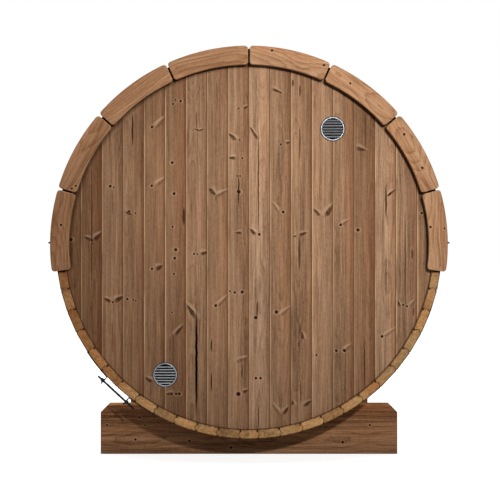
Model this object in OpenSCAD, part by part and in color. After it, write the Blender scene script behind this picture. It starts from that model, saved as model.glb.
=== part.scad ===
// Barrel sauna: a stave barrel lying on two cradles, with board end walls,
// curved trim, a dark roof covering over the upper half and steel bands.
// Sizes in millimetres. Z is up, the ground is Z = 0, the barrel lies along Y.
// The rear end with the two vents faces -Y and the door end faces +Y.

/* [Barrel] */
// Length of the staves
barrel_len = 2000; // [1400:50:2600]
// Distance from the barrel's axis to the middle of a stave's outer face
barrel_r = 1000; // [900:10:1100]
// Thickness of the staves
stave_t = 42; // [34:1:60]
// Staves on each side, between the bottom stave and the top stave
staves_per_side = 26; // [22:1:30]
// Width of the bottom stave, which has a bead on both edges
bottom_stave_w = 92; // [70:1:110]
// Width of the top stave, which has a cove on both edges
top_stave_w = 76; // [60:1:110]
// Radius of the bead along a stave's edge
bead_r = 16; // [12:0.5:16]
// How far the bead stands out of the edge
bead_h = 8; // [5:0.5:10]
// Chamfer along the long edges of a stave
stave_chamfer = 4; // [2:0.5:5]

/* [End walls] */
// Depth of an end wall behind the stave ends
wall_recess = 25; // [20:1:100]
// Thickness of the end walls
wall_t = 40; // [28:1:50]
// Depth of the groove in the staves that holds an end wall
croze_depth = 10; // [6:1:14]

/* [Vents] */
// Outer diameter of a vent's flange
vent_d = 124; // [110:1:150]
// Diameter of the hole through the wall
vent_hole_d = 112; // [90:1:116]
// Vents' distance from the middle plane
vent_x = 436; // [380:1:480]
// Height of the upper vent above the axis
vent_up = 610; // [500:1:640]
// Depth of the lower vent below the axis
vent_down = 670; // [500:1:690]
// Number of slats in a vent
vent_slats = 7; // [5:1:9]
// Slope of the slats, outward in the lower vent and inward in the upper one
slat_slope = 25; // [15:1:45]
// Thickness of a vent's flange
flange_t = 6; // [4:0.5:10]
// Wall thickness of a vent's sleeve
sleeve_t = 2.7; // [2:0.1:4]
// Depth of a slat, measured along its slope
slat_w = 12; // [9:0.5:18]

/* [Cradles] */
// Width of a cradle
cradle_w = 1618; // [1400:2:1800]
// Height of a cradle under the barrel's lowest stave
cradle_web = 133; // [100:1:200]
// How far a cradle's sides rise above the barrel's lowest stave
cradle_rise = 135; // [100:1:180]
// Thickness of a cradle
cradle_t = 90; // [60:1:120]
// Chamfer on the upper corners of a cradle
cradle_chamfer = 40; // [20:1:60]
// Distance from the stave ends to a cradle's outer face
cradle_inset = 270; // [200:5:400]

/* [Bands] */
// Width of a steel band
band_w = 30; // [20:1:40]
// Thickness of a steel band
band_t = 1.5; // [1:0.1:3]
// Distance from the stave ends to the middle of a band
band_inset = 40; // [36:1:60]
// Angle of the tensioner, counted from +X towards +Z
tension_angle = 227.2; // [215:0.1:240]
// Distance between a tensioner's two lugs
lug_gap = 152; // [120:1:200]
// Thickness of a lug and of its foot
lug_t = 6; // [4:0.5:8]
// Length of a lug's foot along the band
lug_foot = 170; // [80:1:220]
// Height of the rod's axis above the staves
rod_h = 33; // [28:1:40]
// How far a lug stands out past the rod's axis
lug_over = 17; // [12:1:24]
// Diameter of the tension rod
rod_d = 12; // [8:1:14]
// Length of the tension rod
rod_len = 254; // [220:1:320]
// How far the rod's middle is shifted towards the barrel's bottom
rod_shift = 10; // [0:1:15]

/* [Roof] */
// How far the roof covering's outer face stands outside the staves
roof_over = 11; // [9:0.5:16]
// Height of the covering's lower edge above the axis
eave_up = 46; // [40:1:80]
// Thickness of the ridge strip
ridge_t = 4; // [3:0.5:6]
// Width of the ridge strip
ridge_w = 250; // [150:5:330]
// Length of the drip edge's flange under the covering
drip_flange = 60; // [40:1:100]
// How far the drip edge kicks outward
drip_kick = 36; // [20:1:45]
// How far the drip edge's lip falls
drip_drop = 28; // [15:1:40]
// Diameter of the rolled hem along the lip
drip_hem = 8; // [5:0.5:12]
// Thickness of the drip edge
drip_t = 2; // [1:0.5:3]

/* [Trim] */
// Radius of the trim boards' outer edge
trim_over = 26; // [22:1:40]
// Width of the trim boards
trim_w = 97; // [80:1:120]
// Thickness of the trim boards
trim_t = 28; // [18:1:36]
// Height of the trim's centre above the barrel's axis, followed by the roof covering
trim_rise = 8; // [0:1:10]
// Angle that one trim board covers, with its gap
trim_pitch = 24.55; // [22:0.05:26]
// Gap between two trim boards
trim_gap = 9; // [4:0.5:14]
// Corner radius of the trim boards
trim_corner = 16; // [6:1:24]

/* [Door] */
// Width of the door leaf
door_w = 620; // [560:5:680]
// Distance from the frame's corners to the inside of the staves
door_margin = 73; // [50:1:120]
// Thickness of the door leaf
door_t = 40; // [28:1:50]
// Gap around the door leaf
door_gap = 4; // [2:0.5:6]
// Width of the door frame's members
frame_w = 45; // [35:1:60]
// How far the frame stands out of the wall on both faces
frame_proud = 10; // [4:1:20]
// Length of the handle
handle_len = 420; // [200:10:500]
// Width of the handle's bar
handle_w = 30; // [24:1:36]
// Depth of the handle's bar
handle_t = 20; // [16:1:24]
// Room for the hand behind the bar
handle_room = 22; // [20:1:28]
// Distance from the leaf's edge to the middle of the handle
handle_inset = 70; // [50:1:100]
// Length of a hinge's strap
hinge_len = 190; // [120:5:260]
// Height of a hinge's strap
hinge_h = 40; // [30:1:50]
// Height of a hinge's plate on the frame
hinge_plate_h = 90; // [60:1:120]
// Thickness of the hinge plates
hinge_t = 4; // [3:0.5:6]
// Diameter of a hinge's knuckle
hinge_pin_d = 12; // [10:1:16]
// Distance from the leaf's ends to the upper and the lower hinge
hinge_inset = 200; // [120:5:300]

/* [Hidden] */
$fn = 180;
fit = 0.3;                 // clearance between seated pieces
joint = 0.4;               // clearance in the stave joints
half_len = barrel_len / 2;
inner_r = barrel_r - stave_t;
axis_h = barrel_r + cradle_web;
cradle_h = cradle_web + cradle_rise;
a_bottom = atan(bottom_stave_w / 2 / barrel_r);
a_top = atan(top_stave_w / 2 / barrel_r);
a_pitch = (180 - a_bottom - a_top) / staves_per_side;
half_a = a_pitch / 2;
corner_u = barrel_r * tan(half_a) - stave_chamfer;
corner_r = sqrt(barrel_r * barrel_r + corner_u * corner_u);
band_r = corner_r + fit;
drip_r = band_r + band_t + 0.2;
roof_in_r = drip_r + drip_t + 0.2;
roof_out_r = barrel_r + roof_over;
trim_out_r = barrel_r + trim_over;
trim_in_r = trim_out_r - trim_w;
wall_r = inner_r + croze_depth - fit;
wall_y = half_len - wall_recess - wall_t / 2;
hole_w = door_w + 2 * door_gap + 2 * frame_w;
hole_up = sqrt(pow(inner_r - door_margin, 2) - pow(hole_w / 2, 2));
door_up = hole_up - door_gap - frame_w;
door_face = wall_y + wall_t / 2 + frame_proud;
rod_r = barrel_r + rod_h;
lower_staves = floor(staves_per_side / 2);

// Outline in X and Z, drawn about the barrel's axis, made into a piece along Y
module along_barrel(from, to) {
  translate([0, to, axis_h])
    rotate([90, 0, 0])
      linear_extrude(height = to - from)
        children();
}

module wood() {
  color([0.55, 0.39, 0.27]) children();
}

module dark_steel() {
  color([0.06, 0.06, 0.065]) children();
}

// One stave's section without its beads: its middle is on +X, upper edge towards +Y
module stave_body(half, upper_cove, lower_cove) {
  function edge(r) = r * tan(half) - joint / 2;
  c = stave_chamfer;
  difference() {
    polygon([
      [inner_r, edge(inner_r) - c], [inner_r + c, edge(inner_r + c)],
      [barrel_r - c, edge(barrel_r - c)], [barrel_r, edge(barrel_r) - c],
      [barrel_r, c - edge(barrel_r)], [barrel_r - c, -edge(barrel_r - c)],
      [inner_r + c, -edge(inner_r + c)], [inner_r, c - edge(inner_r)]
    ]);
    if (upper_cove) edge_round(half, -1, bead_r + joint);
    if (lower_cove) mirror([0, 1]) edge_round(half, -1, bead_r + joint);
  }
}

// The circle of a bead (side 1) or a cove (side -1) on the upper edge
module edge_round(half, side, r) {
  mid_r = barrel_r - stave_t / 2;
  back = side * (bead_r - bead_h + joint / 2);
  translate(mid_r * [1, tan(half)] + back * [sin(half), -cos(half)]) circle(r = r);
}

// A stave at an angle, with the grooves for both end walls
module stave(angle, half, upper_bead, lower_cove) {
  difference() {
    union() {
      along_barrel(-half_len, half_len)
        rotate(angle) stave_body(half, !upper_bead, lower_cove);
      if (upper_bead)
        along_barrel(-half_len, half_len)
          rotate(angle) edge_round(half, 1, bead_r);
      if (!lower_cove)
        along_barrel(-half_len, half_len)
          rotate(angle) mirror([0, 1]) edge_round(half, 1, bead_r);
    }
    for (y = [-wall_y, wall_y])
      along_barrel(y - wall_t / 2 - fit, y + wall_t / 2 + fit)
        circle(r = inner_r + croze_depth);
  }
}

// A run of staves up the right side
module side_staves(first, last) {
  wood()
    for (i = [first : last])
      stave(a_bottom - 90 + a_pitch * (i + 0.5), half_a, true, true);
}

module bottom_stave() {
  wood() stave(-90, a_bottom, true, false);
}

module top_stave() {
  wood() stave(90, a_top, false, true);
}

module cradle() {
  wood()
    along_barrel(0, cradle_t)
      difference() {
        translate([0, -axis_h])
          polygon([
            [-cradle_w / 2, 0], [cradle_w / 2, 0],
            [cradle_w / 2, cradle_h - cradle_chamfer], [cradle_w / 2 - cradle_chamfer, cradle_h],
            [cradle_chamfer - cradle_w / 2, cradle_h], [-cradle_w / 2, cradle_h - cradle_chamfer]
          ]);
        circle(r = corner_r + fit);
      }
}

module rear_cradle() {
  translate([0, cradle_inset - half_len, 0]) cradle();
}

module front_cradle() {
  translate([0, half_len - cradle_inset - cradle_t, 0]) cradle();
}

// A round end wall, lying about the axis
module wall_disc() {
  circle(r = wall_r);
}

module rear_wall() {
  wood()
    along_barrel(-wall_y - wall_t / 2, -wall_y + wall_t / 2)
      difference() {
        wall_disc();
        translate([vent_x, vent_up]) circle(d = vent_hole_d);
        translate([-vent_x, -vent_down]) circle(d = vent_hole_d);
      }
}

// A vent with its flange against the plane Y = 0, facing -Y
module vent() {
  sleeve_out = vent_hole_d / 2 - fit;
  sleeve_in = sleeve_out - sleeve_t;
  pitch = 2 * sleeve_in / (vent_slats + 0.6);
  slat_t = sleeve_t / 2;
  slat_rise = slat_w * sin(slat_slope);
  color([0.62, 0.64, 0.66])
    union() {
      rotate([90, 0, 0])
        difference() {
          cylinder(h = flange_t, d = vent_d);
          translate([0, 0, -1]) cylinder(h = flange_t + 2, r = sleeve_in);
        }
      rotate([-90, 0, 0])
        difference() {
          translate([0, 0, -1]) cylinder(h = wall_t + 1, r = sleeve_out);
          translate([0, 0, -2]) cylinder(h = wall_t + 4, r = sleeve_in);
        }
      intersection() {
        rotate([-90, 0, 0])
          translate([0, 0, -flange_t]) cylinder(h = flange_t + slat_w, r = sleeve_in + sleeve_t / 2);
        for (i = [0 : vent_slats - 1])
          translate([-vent_d / 2, -0.9 * flange_t, (i - (vent_slats - 1) / 2) * pitch - slat_rise / 2])
            rotate([slat_slope, 0, 0]) cube([vent_d, slat_w, slat_t]);
      }
    }
}

module upper_vent() {
  translate([vent_x, wall_recess - half_len, axis_h + vent_up]) rotate([0, 180, 0]) vent();
}

module lower_vent() {
  translate([-vent_x, wall_recess - half_len, axis_h - vent_down]) vent();
}

// Part of the front wall inside the given limits
module front_wall_part(x0, x1, z0, z1) {
  wood()
    along_barrel(wall_y - wall_t / 2, wall_y + wall_t / 2)
      intersection() {
        wall_disc();
        translate([x0, z0]) square([x1 - x0, z1 - z0]);
      }
}

module front_wall_left() {
  front_wall_part(-wall_r, -hole_w / 2 - fit, -wall_r, wall_r);
}

module front_wall_right() {
  front_wall_part(hole_w / 2 + fit, wall_r, -wall_r, wall_r);
}

module front_wall_head() {
  front_wall_part(-hole_w / 2, hole_w / 2, hole_up + fit, wall_r);
}

module front_wall_sill() {
  front_wall_part(-hole_w / 2, hole_w / 2, -wall_r, -hole_up - fit);
}

module frame_member(x0, x1, z0, z1) {
  wood()
    along_barrel(wall_y - wall_t / 2 - frame_proud, wall_y + wall_t / 2 + frame_proud)
      translate([x0, z0]) square([x1 - x0, z1 - z0]);
}

module door_jamb_left() {
  frame_member(-hole_w / 2, frame_w - hole_w / 2, -hole_up, hole_up);
}

module door_jamb_right() {
  frame_member(hole_w / 2 - frame_w, hole_w / 2, -hole_up, hole_up);
}

module door_head() {
  frame_member(frame_w - hole_w / 2 + fit, hole_w / 2 - frame_w - fit, hole_up - frame_w, hole_up);
}

module door_sill() {
  frame_member(frame_w - hole_w / 2 + fit, hole_w / 2 - frame_w - fit, -hole_up, frame_w - hole_up);
}

// The leaf's outer face is flush with the frame's outer face
module door_leaf() {
  wood()
    along_barrel(door_face - door_t, door_face)
      translate([-door_w / 2, -door_up]) square([door_w, 2 * door_up]);
}

// Three strap hinges lying on the leaf and the right-hand jamb
module door_hinges() {
  pin_x = door_w / 2 + door_gap / 2;
  dark_steel()
    for (z = [hinge_inset - door_up, 0, door_up - hinge_inset])
      translate([pin_x, door_face, axis_h + z])
        union() {
          translate([-hinge_len, 0, -hinge_h / 2]) cube([hinge_len, hinge_t, hinge_h]);
          translate([0, 0, -hinge_plate_h / 2]) cube([frame_w - door_gap, hinge_t, hinge_plate_h]);
          translate([0, hinge_pin_d / 2, -hinge_plate_h / 2]) cylinder(h = hinge_plate_h, d = hinge_pin_d);
        }
}

// A wooden bar on two short posts
module door_handle() {
  post_z = handle_len / 2 - 1.3 * handle_w;
  wood()
    translate([handle_inset - door_w / 2, door_face, axis_h])
      union() {
        for (z = [-post_z, post_z])
          translate([0, 0, z])
            rotate([-90, 0, 0]) cylinder(h = handle_room + handle_t / 2, d = 0.8 * handle_w);
        translate([-handle_w / 2, handle_room, -handle_len / 2]) cube([handle_w, handle_t, handle_len]);
      }
}

// A wedge about the axis, for cutting rings
module wedge(a0, a1, r) {
  polygon([[0, 0], for (i = [0 : 6]) r * [cos(a0 + (a1 - a0) * i / 6), sin(a0 + (a1 - a0) * i / 6)]]);
}

// The band, open between its two lugs; local +X points out through the tensioner
module band_section() {
  lug_a = atan(lug_gap / 2 / band_r);
  foot_a = lug_foot / band_r * 180 / PI;
  foot_r = band_r + band_t;
  difference() {
    circle(r = foot_r);
    circle(r = band_r);
    wedge(-lug_a, lug_a, 2 * band_r);
  }
  for (s = [-1, 1])
    mirror([0, s < 0 ? 1 : 0]) {
      intersection() {
        difference() {
          circle(r = foot_r + lug_t);
          circle(r = band_r);
        }
        wedge(lug_a, lug_a + foot_a, 2 * band_r);
      }
      difference() {
        translate([band_r - 20, lug_gap / 2])
          square([rod_r + lug_over - band_r + 20, lug_t]);
        circle(r = band_r);
      }
    }
}

module band() {
  dark_steel()
    difference() {
      along_barrel(-band_w / 2, band_w / 2)
        rotate(tension_angle) band_section();
      translate([0, 0, axis_h])
        rotate([0, -tension_angle, 0])
          translate([rod_r, 0, -lug_gap])
            cylinder(h = 2 * lug_gap, d = rod_d + 2 * fit);
    }
}

module tension_rod() {
  dark_steel()
    translate([0, 0, axis_h])
      rotate([0, -tension_angle, 0])
        translate([rod_r, 0, rod_shift - rod_len / 2])
          cylinder(h = rod_len, d = rod_d);
}

module rear_band() {
  translate([0, band_inset - half_len, 0]) band();
}

module front_band() {
  translate([0, half_len - band_inset, 0]) band();
}

module rear_tension_rod() {
  translate([0, band_inset - half_len, 0]) tension_rod();
}

module front_tension_rod() {
  translate([0, half_len - band_inset, 0]) tension_rod();
}

// Half of the roof covering, on the right
module roof_half() {
  color([0.05, 0.05, 0.055])
    along_barrel(-half_len, half_len)
      intersection() {
        difference() {
          translate([0, trim_rise]) circle(r = roof_out_r);
          circle(r = roof_in_r);
        }
        translate([fit, eave_up]) square([2 * barrel_r, 2 * barrel_r]);
      }
}

module roof_ridge() {
  color([0.05, 0.05, 0.055])
    along_barrel(-half_len, half_len)
      intersection() {
        translate([0, trim_rise])
          difference() {
            circle(r = roof_out_r + 0.2 + ridge_t);
            circle(r = roof_out_r + 0.2);
          }
        translate([-ridge_w / 2, 0]) square([ridge_w, 2 * barrel_r]);
      }
}

// A flange under the covering and a lip with a rolled hem that kicks out below it, on the right
module drip_edge() {
  foot_z = eave_up - 1;
  foot_x = sqrt(drip_r * drip_r - foot_z * foot_z);
  hem = [foot_x + drip_kick + drip_t - drip_hem / 2, foot_z - drip_drop];
  dark_steel()
    union() {
      along_barrel(-half_len, half_len)
        union() {
          intersection() {
            difference() {
              circle(r = drip_r + drip_t);
              circle(r = drip_r);
            }
            translate([0, foot_z - 1]) square([2 * barrel_r, drip_flange]);
          }
          polygon([
            [foot_x + 0.2, foot_z], [foot_x + 0.2, foot_z - 1.5 * drip_t],
            hem - [0, 0.7 * drip_t], hem + [0, 0.7 * drip_t],
            [foot_x + drip_t, foot_z]
          ]);
        }
      along_barrel(-half_len, half_len)
        translate(hem) circle(d = drip_hem);
    }
}

// Four trim boards on the right, counted from the top, lying in front of the plane Y = 0
module trim_boards() {
  wood()
    for (i = [0 : 3])
      along_barrel(-trim_t, 0)
        translate([0, trim_rise])
          rotate(90 - trim_pitch * (i + 0.5))
            trim_outline();
}

// A ring sector with straight ends and rounded corners, its middle on +X
module trim_outline() {
  inset = trim_gap / 2 + trim_corner;
  half = trim_pitch / 2;
  far = 1.2 * trim_out_r;
  offset(r = trim_corner, $fn = 48)
    intersection() {
      difference() {
        circle(r = trim_out_r - trim_corner, $fn = 540);
        circle(r = trim_in_r + trim_corner, $fn = 540);
      }
      polygon([
        [0, 0] + inset / sin(half) * [1, 0],
        inset / sin(half) * [1, 0] + far * [cos(half), -sin(half)],
        inset / sin(half) * [1, 0] + far * [cos(half), sin(half)]
      ]);
    }
}

module rear_trim_right() {
  translate([0, -half_len, 0]) trim_boards();
}

module front_trim_right() {
  translate([0, half_len + trim_t, 0]) trim_boards();
}

bottom_stave();
top_stave();
side_staves(0, lower_staves - 1);  // right_staves_lower
side_staves(lower_staves, staves_per_side - 1);  // right_staves_upper
mirror([1, 0, 0]) side_staves(0, lower_staves - 1);  // left_staves_lower
mirror([1, 0, 0]) side_staves(lower_staves, staves_per_side - 1);  // left_staves_upper
rear_wall();
upper_vent();
lower_vent();
front_wall_left();
front_wall_right();
front_wall_head();
front_wall_sill();
door_jamb_left();
door_jamb_right();
door_head();
door_sill();
door_leaf();
door_hinges();
door_handle();
rear_cradle();
front_cradle();
rear_band();
front_band();
rear_tension_rod();
front_tension_rod();
mirror([1, 0, 0]) roof_half();  // roof_left
roof_half();  // roof_right
roof_ridge();
mirror([1, 0, 0]) drip_edge();  // drip_edge_left
drip_edge();  // drip_edge_right
mirror([1, 0, 0]) rear_trim_right();  // rear_trim_left
rear_trim_right();
mirror([1, 0, 0]) front_trim_right();  // front_trim_left
front_trim_right();
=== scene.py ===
"""Looks of the barrel sauna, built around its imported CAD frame.

Metres, in the CAD's own frame: Z up, the barrel lies along Y, the vented rear end faces -Y.
"""

import math
import random
from itertools import pairwise

import bmesh
import bpy
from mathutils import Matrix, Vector


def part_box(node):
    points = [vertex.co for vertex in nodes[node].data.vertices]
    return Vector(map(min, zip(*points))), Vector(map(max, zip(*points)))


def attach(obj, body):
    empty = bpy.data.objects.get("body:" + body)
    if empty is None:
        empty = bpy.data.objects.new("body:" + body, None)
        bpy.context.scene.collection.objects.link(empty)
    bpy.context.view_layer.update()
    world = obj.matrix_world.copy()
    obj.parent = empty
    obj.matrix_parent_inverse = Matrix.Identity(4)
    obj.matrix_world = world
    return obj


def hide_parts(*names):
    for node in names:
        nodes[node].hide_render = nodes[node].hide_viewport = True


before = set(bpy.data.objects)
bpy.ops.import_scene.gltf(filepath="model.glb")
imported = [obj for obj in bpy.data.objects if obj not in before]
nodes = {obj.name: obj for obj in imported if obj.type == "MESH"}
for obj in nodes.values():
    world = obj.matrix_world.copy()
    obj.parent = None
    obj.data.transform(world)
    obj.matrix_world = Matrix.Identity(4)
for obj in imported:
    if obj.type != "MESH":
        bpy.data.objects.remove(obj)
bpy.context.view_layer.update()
scene = bpy.context.scene
MM = 0.001
QUARTER = math.pi / 2

# --- sizes from the frame
wall_lo, wall_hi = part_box("rear_wall")
AXIS = (wall_lo.z + wall_hi.z) / 2
WALL_R = (wall_hi.x - wall_lo.x) / 2
WALL_T = wall_hi.y - wall_lo.y
REAR_FACE = wall_lo.y
FRONT_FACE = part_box("front_wall_left")[1].y
HALF_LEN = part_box("bottom_stave")[1].y
BARREL_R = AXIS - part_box("bottom_stave")[0].z
TRIM_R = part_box("rear_trim_right")[1].x - 0.05 * MM
TRIM_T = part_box("rear_trim_right")[1].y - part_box("rear_trim_right")[0].y
VENTS = {name: sum(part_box(name), Vector()) / 2 for name in ("upper_vent", "lower_vent")}
VENT_R = (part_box("upper_vent")[1].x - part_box("upper_vent")[0].x) / 2
DOOR_LO, DOOR_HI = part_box("door_leaf")
HOLE_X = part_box("door_jamb_right")[1].x
HOLE_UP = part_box("door_jamb_right")[1].z - AXIS

# --- sizes shared with the part's source
STAVES_PER_SIDE = 26
BOTTOM_STAVE_W, TOP_STAVE_W = 92 * MM, 76 * MM
STAVE_T, BEAD_R, BEAD_H = 42 * MM, 16 * MM, 8 * MM
INNER_R = BARREL_R - STAVE_T
TRIM_W, TRIM_GAP, TRIM_CORNER, TRIM_RISE = 97 * MM, 9 * MM, 16 * MM, 8 * MM
TRIM_PITCH = math.radians(24.55)
TRIM_CENTRE = AXIS + TRIM_RISE
CRADLE_CHAMFER = 40 * MM
SEAT_R = BARREL_R + 1.8 * MM
ROOF_IN_R, ROOF_R = BARREL_R + 5.7 * MM, BARREL_R + 11 * MM
RIDGE_W, RIDGE_T = 250 * MM, 4 * MM
TENSION_ANGLE = math.radians(227.2)
LUG_GAP, LUG_T, ROD_H = 152 * MM, 6 * MM, 33 * MM
ROD_R, ROD_LEN, ROD_SHIFT = 6 * MM, 254 * MM, 10 * MM
BAND_Y = HALF_LEN - 40 * MM
VENT_SLATS, SLAT_SLOPE, SLAT_W = 7, math.radians(25), 12 * MM
VENT_HOLE_R, SLEEVE_T = 56 * MM, 2.7 * MM
HINGE_LEN, HINGE_H, HINGE_PLATE_H, HINGE_T = 190 * MM, 40 * MM, 90 * MM, 4 * MM
PIN_R, GRIP_T, POST_R = 6 * MM, 20 * MM, 12 * MM

# --- sizes of what is added here
BOARD_W, BOARD_GAP, LEAF_BOARDS = 109.4 * MM, 0.2 * MM, 6
CHAMFER_W, CHAMFER_DEPTH = 7.0 * MM, 1.6 * MM
GROOVE_W, GROOVE_FLOOR_W, GROOVE_DEPTH = 5.5 * MM, 4.5 * MM, 1.2 * MM
NARROWEST_BOARD = 15 * MM
BOARD_COLUMNS, HOLE_COLUMNS, BOARD_ROWS, HOLE_ROWS, ROW_APART = 7, 24, 60, 26, 1.5 * MM
EASE = 4 * MM
THREAD, THREAD_DEPTH = 1.5 * MM, 0.5 * MM
WASHER_T, WASHER_R, NUT_H, NUT_R = 1.8 * MM, 12 * MM, 10 * MM, 10.9 * MM
COURSES, TABS, CAPS = 11, 6, 10
TAB_T, TAB_DROP, TAB_GAP, TAB_SINK = 2.6 * MM, 2.9 * MM, 7 * MM, 0.4 * MM
UNDERLAY_T = 0.8 * MM
TAB_OVERLAP, TAB_UNEVEN, RIDGE_SLACK = 1.9, 0.0015, 0.0004  # courses; the others in radians

# --- camera, from the photograph's circles
CAMERA_AT = Vector((0.0056, -6.16, 1.1125))
LENS, SENSOR, PHOTO = 71.7, 36.0, 500


def seen_at(px, py, y):
    """X and Z of the point on the plane Y = y that the photograph shows at a pixel."""
    scale = (y - CAMERA_AT.y) * SENSOR / LENS / PHOTO
    return Vector((CAMERA_AT.x + (px - PHOTO / 2) * scale, CAMERA_AT.z - (py - PHOTO / 2) * scale))


def even(start, end, count):
    """Count steps from start to end, both included."""
    return [start + (end - start) * i / count for i in range(count + 1)]


def heading(angle):
    """Unit vector of X and Z at an angle."""
    return Vector((math.cos(angle), math.sin(angle)))


# --- node trees
def srgb(*display):
    """Linear colour of an 8-bit display colour."""
    parts = [c / 255 for c in display]
    return tuple(c / 12.92 if c < 0.04 else ((c + 0.055) / 1.055) ** 2.4 for c in parts) + (1.0,)


class Value:
    """The output of a node, as a term: each operation on it makes a Math node."""

    def __init__(self, tree, socket):
        self.tree, self.socket = tree, socket

    def __add__(self, other):
        return self.tree.math("ADD", self, other)

    def __radd__(self, other):
        return self.tree.math("ADD", other, self)

    def __sub__(self, other):
        return self.tree.math("SUBTRACT", self, other)

    def __rsub__(self, other):
        return self.tree.math("SUBTRACT", other, self)

    def __mul__(self, other):
        return self.tree.math("MULTIPLY", self, other)

    def __truediv__(self, other):
        return self.tree.math("DIVIDE", self, other)

    def __pow__(self, other):
        return self.tree.math("POWER", self, other)

    def __gt__(self, other):
        return self.tree.math("GREATER_THAN", self, other)

    def __lt__(self, other):
        return self.tree.math("LESS_THAN", self, other)

    def __abs__(self):
        return self.tree.math("ABSOLUTE", self)


class Tree:
    """The nodes of a material or world under construction; outputs and plain values mix freely."""

    def __init__(self, owner):
        owner.use_nodes = True
        self.owner, self.tree = owner, owner.node_tree
        self.tree.nodes.clear()

    def node(self, kind, inputs=(), **props):
        node = self.tree.nodes.new("ShaderNode" + kind)
        for key, value in props.items():
            setattr(node, key, value)
        for key, value in dict(inputs).items():
            if isinstance(value, Value):
                self.tree.links.new(value.socket, node.inputs[key])
            else:
                node.inputs[key].default_value = value
        return node

    def out(self, kind, inputs=(), output=0, **props):
        return Value(self, self.node(kind, inputs, **props).outputs[output])

    def math(self, operation, *values, clamp=False):
        return self.out("Math", enumerate(values), operation=operation, use_clamp=clamp)

    def max(self, a, b):
        return self.math("MAXIMUM", a, b)

    def min(self, a, b):
        return self.math("MINIMUM", a, b)

    def length(self, a, b):
        """Length of a flat vector."""
        return self.math("SQRT", a * a + b * b)

    def stretch(self, vector, by):
        return self.out("VectorMath", {0: vector, 1: by}, operation="MULTIPLY")

    def xyz(self, x=0.0, y=0.0, z=0.0):
        return self.out("CombineXYZ", {0: x, 1: y, 2: z})

    def split(self, vector):
        return [Value(self, part) for part in self.node("SeparateXYZ", {0: vector}).outputs]

    def place(self):
        return self.out("TexCoord", output="Object")

    def attribute(self, name):
        """Vector and alpha of a mesh attribute."""
        outputs = self.node("Attribute", attribute_name=name).outputs
        return Value(self, outputs["Vector"]), Value(self, outputs["Alpha"])

    def noise(self, vector, scale, detail=2.0, roughness=0.5):
        inputs = {"Vector": vector, "Scale": scale, "Detail": detail, "Roughness": roughness}
        return self.out("TexNoise", inputs, "Fac")

    def step(self, value, start, end, low=0.0, high=1.0):
        """Smooth step from low at start to high at end."""
        if start > end:
            start, end, low, high = end, start, high, low
        inputs = dict(enumerate((value, start, end, low, high)))
        return self.out("MapRange", inputs, interpolation_type="SMOOTHSTEP")

    def mix(self, share, a, b, blend="MIX"):
        return self.out("Mix", {0: share, 6: a, 7: b}, 2, data_type="RGBA", blend_type=blend)

    def tint(self, colour, by, share=1.0):
        return self.mix(share, colour, by, "MULTIPLY")

    def ramp(self, value, *stops):
        node = self.node("ValToRGB", {0: value})
        elements = node.color_ramp.elements
        while len(elements) < len(stops):
            elements.new(0.5)
        for element, (place, colour) in zip(elements, stops):
            element.position, element.color = place, colour
        return Value(self, node.outputs[0])

    def surface(self, colour, roughness, gloss, height, depth, strength, bare=0.0):
        """Ends a material; height is its relief, depth metres deep."""
        bump = self.out("Bump", {"Height": height, "Distance": depth, "Strength": strength})
        inputs = {"Base Color": colour, "Roughness": roughness, "Metallic": bare}
        inputs |= {"Specular IOR Level": gloss, "Normal": bump}
        self.node("OutputMaterial", {0: self.out("BsdfPrincipled", inputs)})
        return self.owner

    def white_for_camera(self, output, white, plain):
        """Ends a tree that is white to the camera and in reflections, and plain to other light."""
        rays = self.node("LightPath").outputs
        kinds = "Camera", "Glossy", "Transmission"
        seen, *mirrored = (Value(self, rays[f"Is {kind} Ray"]) for kind in kinds)
        share = self.max(seen, self.max(*mirrored))
        self.node(output, {0: self.out("MixShader", {0: share, 1: plain, 2: white})})


# --- wood
MARK_SLOTS, WING_GLOW = 3, 0.85
WOOD_GLOSS, WOOD_RELIEF = 0.0, (0.5 * MM, 0.35)
# Pale edges: worn, paler arrises on the wall boards, painted highlights on the trim's and the
# cradle's eased edges; dark edges: dark joints, and painted shade on the cradle's eased edges
PALE_EDGE, DARK_EDGE = srgb(206, 168, 128), srgb(96, 64, 43)
CRACK, HALO = srgb(22, 12, 8), srgb(204, 174, 140)
# Dark, middle and light grain, and the tint of its red parts
THERMO = srgb(109, 79, 58), srgb(152, 117, 89), srgb(185, 149, 116), srgb(226, 192, 174)
TRIM_TONES = srgb(141, 101, 71), srgb(176, 134, 100), srgb(201, 161, 125), srgb(238, 210, 190)
CRADLE_TONES = srgb(92, 61, 41), srgb(155, 112, 79), srgb(200, 151, 110), srgb(232, 202, 180)
STAVE_TONES = srgb(128, 92, 60), srgb(182, 146, 104), srgb(212, 177, 132), srgb(236, 206, 180)


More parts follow.
